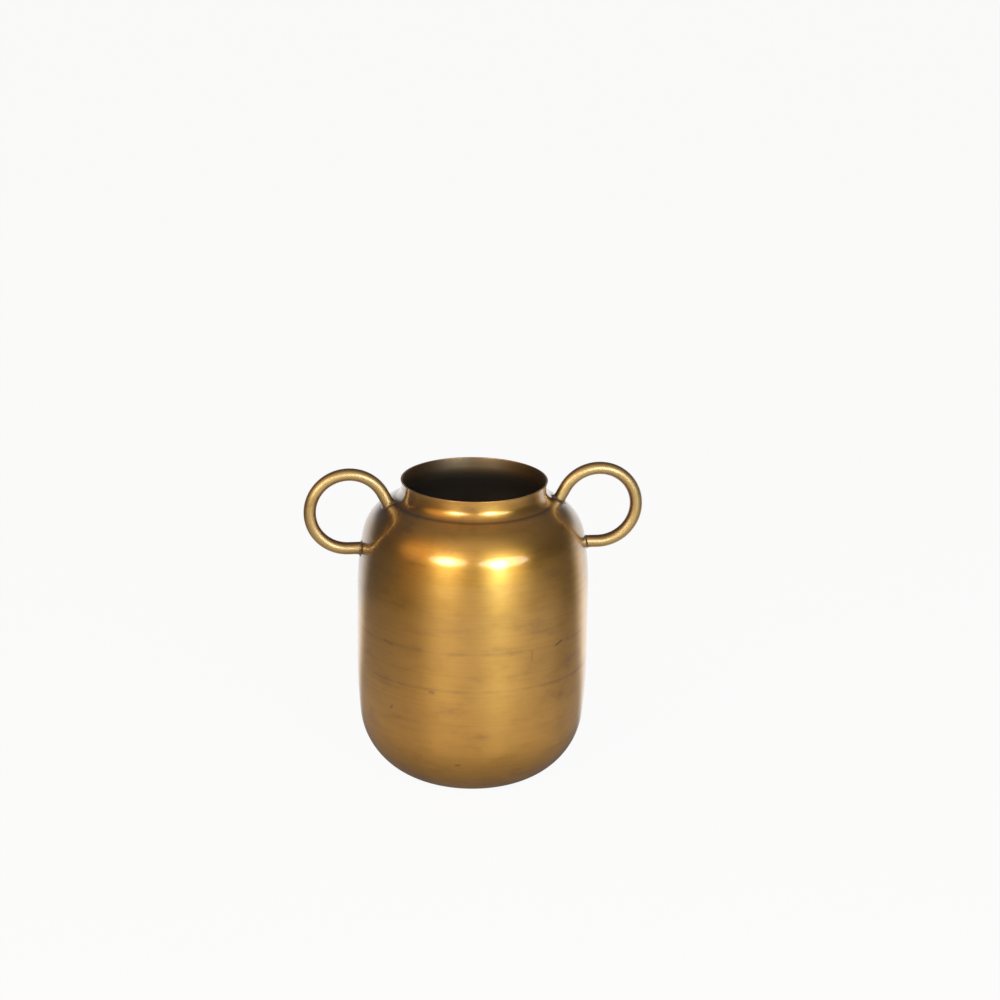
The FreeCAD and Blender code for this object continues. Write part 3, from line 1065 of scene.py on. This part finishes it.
    def rod_stain_and_shade(self, spot: Spot, stain_and_shade: Wire, cloud: Wire) -> Wire:
        """Add painted shade to the rod: round the inside of the ring, which faces the body, and along the ring's own
        plane, on the rod's inner and outer rims.

        Args:
            spot: Place on the object.
            stain_and_shade: The stain that is there already.
            cloud: Noise of the size of a cloud.

        Returns:
            The whole stain, with the painted shade.
        """
        aside = (spot.across.worked("ABSOLUTE") - self.ring_middle[0]) ** 2.0
        out = (aside + (spot.up - self.ring_middle[1]) ** 2.0) ** 0.5
        # Painted shade on the inside of the ring, which faces the body.
        stain_and_shade = stain_and_shade + out.step(self.ring_radius - MM, self.ring_radius - 3.6 * MM) * 0.6
        # Painted shade along the rod's inner and outer rims.
        return stain_and_shade + (spot.deep.worked("ABSOLUTE") + (cloud - 0.5) * MM).step(3.1 * MM, 1.2 * MM) * 0.75

    @staticmethod
    def ring(up: Wire, height: float, width: float, broken: Wire) -> Wire:
        """Draw a faint dull line round the body, of half this width and broken up by a noise."""
        return (up - height).worked("ABSOLUTE").step(width, 0.0) * broken.step(0.3, 0.6)

    @staticmethod
    def dab(bench: Bench, vector: bpy.types.NodeSocket, mark: Mark) -> Wire:
        """Draw one scratch or blot, or a patch of painted shade.

        Args:
            bench: The node tree.
            vector: Place on the object.
            mark: The scratch, blot or patch of painted shade.

        Returns:
            How strong it is.
        """
        start, end = Vector(mark.start), Vector(mark.end)
        run = end - start
        back = bench.node("ShaderNodeVectorMath", {"operation": "SUBTRACT"}, {0: vector, 1: start}).outputs[0]
        along = bench.measured("DOT_PRODUCT", back, run / run.length_squared).clamped()
        near = bench.node("ShaderNodeVectorMath", {"operation": "SCALE"}, {0: tuple(run), "Scale": along}).outputs[0]
        gap = bench.measured("DISTANCE", back, near)
        return gap.step(mark.width, mark.width * 0.2) * mark.depth


@dataclass(frozen=True)
class DarkInside:
    """Unpolished inside: brown in the neck, nearly black below it."""

    name: str
    neck: Colour = (0.31, 0.21, 0.11)
    deep: Colour = (0.23, 0.19, 0.145)
    roughness: float = 0.55
    anisotropy: float = 0.5
    brown_from: float = 0.181
    brown_to: float = 0.194
    brown_waver: float = 0.006
    clouds: float = 60.0
    strokes: Grain = Grain(10.0, 1400.0, 2.0, 0.6)
    depth: float = 0.00001

    def material(self) -> bpy.types.Material:
        """Make the material.

        Returns:
            The material.
        """
        made, bench = new_finish(self.name)
        spot = bench.spot()
        cloud = bench.noise(spot.vector, self.clouds, 3.0, 0.6)
        strokes = spot.grained(spot.up, self.strokes)
        high = (spot.up + (cloud - 0.5) * self.brown_waver).step(self.brown_from, self.brown_to)
        colour = bench.mixed(high, self.deep, self.neck)
        colour = bench.mixed(cloud.step(0.4, 0.7) * 0.4, colour, self.deep)
        bench.to_surface("ShaderNodeBsdfPrincipled", {
            "Base Color": colour,
            "Metallic": 1.0,
            "Roughness": self.roughness + (strokes - 0.5) * 0.15,
            "Anisotropic": self.anisotropy,
            "Anisotropic Rotation": QUARTER,
            "Normal": bench.bumped(strokes * 0.7 + cloud * 0.3, self.depth),
        })
        return made


# The studio around the vase.


def direction(azimuth: float, elevation: float) -> Vector:
    """Find a direction from the vase.

    Args:
        azimuth: Degrees to the right of the front, seen from there.
        elevation: Degrees above the table.

    Returns:
        The unit vector.
    """
    turn, rise = math.radians(azimuth), math.radians(elevation)
    return Vector((math.sin(turn) * math.cos(rise), -math.cos(turn) * math.cos(rise), math.sin(rise)))


@dataclass(frozen=True)
class Softbox:
    """Oval soft light that faces the neck of the vase. Its strength is the brightness of its face."""

    name: str
    azimuth: float
    elevation: float
    distance: float
    width: float
    height: float
    strength: float
    colour: Colour

    def build(self, aim: Vector) -> None:
        """Hang the light.

        Args:
            aim: Point that it faces.
        """
        lamp = bpy.data.lights.new(self.name, "AREA")
        lamp.shape = "ELLIPSE"
        lamp.size, lamp.size_y = self.width, self.height
        lamp.color = self.colour
        lamp.energy = self.strength * self.width * self.height * math.pi ** 2 / 4
        holder = bpy.data.objects.new(self.name, lamp)
        bpy.context.collection.objects.link(holder)
        out = direction(self.azimuth, self.elevation)
        holder.location = aim + out * self.distance
        holder.rotation_euler = out.to_track_quat("Z", "Y").to_euler()


@dataclass
class Studio:
    """White sweep behind the vase, a dim warm room in front, two soft lights at each side and the camera.

    The lights' azimuths count from the front of the vase, and those of the room and the table from the camera.
    """

    azimuth: float = -8.0
    elevation: float = 18.22
    distance: float = 2.063
    aim_height: float = 0.1861
    aim_right: float = 0.01676
    roll: float = 0.9
    lens: float = 115.2
    softboxes: tuple[Softbox, ...] = (
        Softbox("left_softbox", -33.0, 15.5, 1.4, 0.96, 0.56, 2.9, (1.0, 0.9, 0.8)),
        Softbox("left_core", -34.0, 13.8, 1.35, 0.48, 0.37, 5.0, (0.66, 0.81, 1.0)),
        Softbox("right_softbox", 24.0, 13.5, 1.4, 1.3, 0.56, 3.1, (0.95, 0.96, 1.0)),
        Softbox("right_core", 18.0, 9.2, 1.35, 0.46, 0.52, 6.0, (0.58, 0.79, 1.0)),
    )
    walls: Colour = (0.078, 0.073, 0.078)
    ceiling: Colour = (0.17, 0.15, 0.145)
    glow: Colour = (0.46, 0.39, 0.32)
    warm_corner: Colour = (0.85, 0.54, 0.22)
    unlit_table: Colour = (0.11, 0.1, 0.095)
    paper: Colour = (0.94, 0.91, 0.86)
    sweep_azimuth: float = 177.0
    lit_azimuth: float = 22.0
    table_size: float = 12.0
    table_white: float = 0.94

    @property
    def back(self) -> Vector:
        """Direction from the vase to the camera."""
        return direction(self.azimuth, self.elevation)

    def camera(self) -> None:
        """Stand the camera where the photograph was taken."""
        data = bpy.data.cameras.new("camera")
        data.lens = self.lens
        holder = bpy.data.objects.new("camera", data)
        bpy.context.collection.objects.link(holder)
        turn = self.back.to_track_quat("Z", "Y").to_matrix()
        right = turn @ Vector((1.0, 0.0, 0.0))
        aim = Vector((0.0, 0.0, self.aim_height)) + right * self.aim_right
        turn = turn @ Matrix.Rotation(math.radians(self.roll), 3, "Z")
        holder.matrix_world = Matrix.Translation(aim + self.back * self.distance) @ turn.to_4x4()
        bpy.context.scene.camera = holder

    def facing(self, bench: Bench, way: bpy.types.NodeSocket, azimuth: float, elevation: float = 0.0) -> Wire:
        """Cosine of the angle between a unit vector and a direction counted from the camera."""
        return bench.measured("DOT_PRODUCT", way, direction(self.azimuth + azimuth, elevation))

    def world(self) -> None:
        """Paint what the metal mirrors: white behind the vase, and a dim warm room elsewhere."""
        made = bpy.data.worlds.new("room")
        made.use_nodes = True
        bpy.context.scene.world = made
        bench = Bench(made.node_tree)
        way = bench.node("ShaderNodeTexCoord").outputs["Generated"]
        up = self.facing(bench, way, 0.0, 90.0)
        room = bench.mixed(up.step(0.35, 0.95), self.walls, self.ceiling)
        room = bench.mixed(self.facing(bench, way, 0.0, 40.0).step(0.6, 0.97), room, self.glow)
        room = bench.mixed(self.facing(bench, way, -56.0, 26.0).step(0.84, 1.0), room, self.warm_corner)
        sweep = self.facing(bench, way, self.sweep_azimuth).step(0.48, 0.85) * up.step(0.29, 0.01)
        room = bench.mixed(sweep, room, WHITE)
        path = bench.node("ShaderNodeLightPath").outputs
        seen = bench.mixed(Wire(bench, path["Is Camera Ray"]), room, WHITE)
        bench.to_surface("ShaderNodeBackground", {"Color": seen, "Strength": 1.0}, "ShaderNodeOutputWorld")

    def floor(self) -> None:
        """Lay the pale table: white to the camera with a faint shadow, and white where it runs up behind."""
        bpy.ops.object.select_all(action="DESELECT")
        bpy.ops.mesh.primitive_grid_add(
            x_subdivisions=2, y_subdivisions=2, size=self.table_size, location=AXIS_CENTRE
        )
        table = bpy.context.object
        table.name = table.data.name = "table"
        made, bench = new_finish("pale_table")
        vector = bench.spot().vector
        way = bench.node("ShaderNodeVectorMath", {"operation": "NORMALIZE"}, {0: vector}).outputs[0]
        gap = bench.measured("LENGTH", vector)
        far = gap.step(0.02, 0.17)
        near = gap.step(0.55, 0.2)
        paper = bench.node("ShaderNodeBsdfDiffuse", None, {"Color": (*self.paper, 1.0)})
        path = bench.node("ShaderNodeLightPath").outputs
        seen = Wire(bench, path["Is Camera Ray"])
        sweep = self.facing(bench, way, self.sweep_azimuth).step(0.4, 0.77)
        colour = bench.mixed(sweep * far, self.unlit_table, WHITE)
        colour = bench.mixed(seen, colour, WHITE)
        bright = bench.node("ShaderNodeEmission", None, {"Color": colour, "Strength": 1.0})
        ahead = self.facing(bench, way, self.lit_azimuth).step(0.02, 0.7)
        lit = ahead.worked("MAXIMUM", near * 0.75) * (1.0 - sweep) * far
        lit = lit * (1.0 - gap.step(0.39, 0.65) * 0.6)
        mirrored = (Wire(bench, path["Is Glossy Ray"]) + Wire(bench, path["Is Transmission Ray"])) * (1.0 - lit)
        share = seen * self.table_white + mirrored
        bench.to_surface("ShaderNodeMixShader", {0: share.clamped(), 1: paper.outputs[0], 2: bright.outputs[0]})
        table.data.materials.append(made)

    def build(self) -> None:
        """Set up the whole studio."""
        bpy.context.scene.view_settings.view_transform = "Standard"
        self.camera()
        self.world()
        self.floor()
        for softbox in self.softboxes:
            softbox.build(Vector((0.0, 0.0, self.aim_height)))


def main() -> None:
    """Build the vase and the studio around it."""
    logging.basicConfig(level=logging.INFO, format="%(name)s: %(message)s")
    Studio().build()
    sizes = BodySizes()
    marks = (
        Mark((0.0457, -0.0594, 0.1064), (0.0501, -0.0558, 0.1086), 0.0008, 0.95),
        Mark((0.0292, -0.0691, 0.1068), (0.029, -0.0692, 0.1004), 0.0011, 0.35),
        Mark((-0.0354, -0.0662, 0.0803), (-0.0332, -0.0673, 0.0801), 0.0016, 0.55),
        Mark((-0.0582, -0.0467, 0.0631), (-0.0574, -0.0477, 0.0645), 0.0015, 0.5),
        Mark((-0.0183, -0.0674, 0.0298), (-0.0163, -0.0679, 0.03), 0.0014, 0.5),
        Mark((-0.0619, -0.0423, 0.1078), (-0.0575, -0.0481, 0.1066), 0.0016, 0.35),
    )
    dome = SatinBrass("dome_brass", Brushing.ROUND_DOME, marks=marks).material()
    bowl = SatinBrass("bowl_brass", Brushing.ROUND_BOWL, marks=marks).material()
    rod = SatinBrass(
        "rod_brass", Brushing.ROD, bright=(0.76, 0.53, 0.2), dull=(0.64, 0.42, 0.13), roughness=0.48,
        lacquer=0.7, lacquer_roughness=0.3,
    ).material()
    filler = SatinBrass(
        "filler_brass", Brushing.FILED, bright=(0.44, 0.29, 0.12), dull=(0.2, 0.135, 0.07), roughness=0.42,
        lacquer_roughness=0.2,
    ).material()
    inside = DarkInside("dark_inside").material()
    UpperShell("vase_upper", "upper_shell", sizes, dome, inside).build()
    LowerShell("vase_lower", "lower_shell", sizes, bowl, inside).build()
    Seam("vase_seam", "seam_braze", sizes, bowl).build()
    RingHandle(sizes, rod).build()
    for side in Side:
        for foot in Foot:
            FootBead(side, foot, filler).build()


if __name__ == "__main__":
    main()
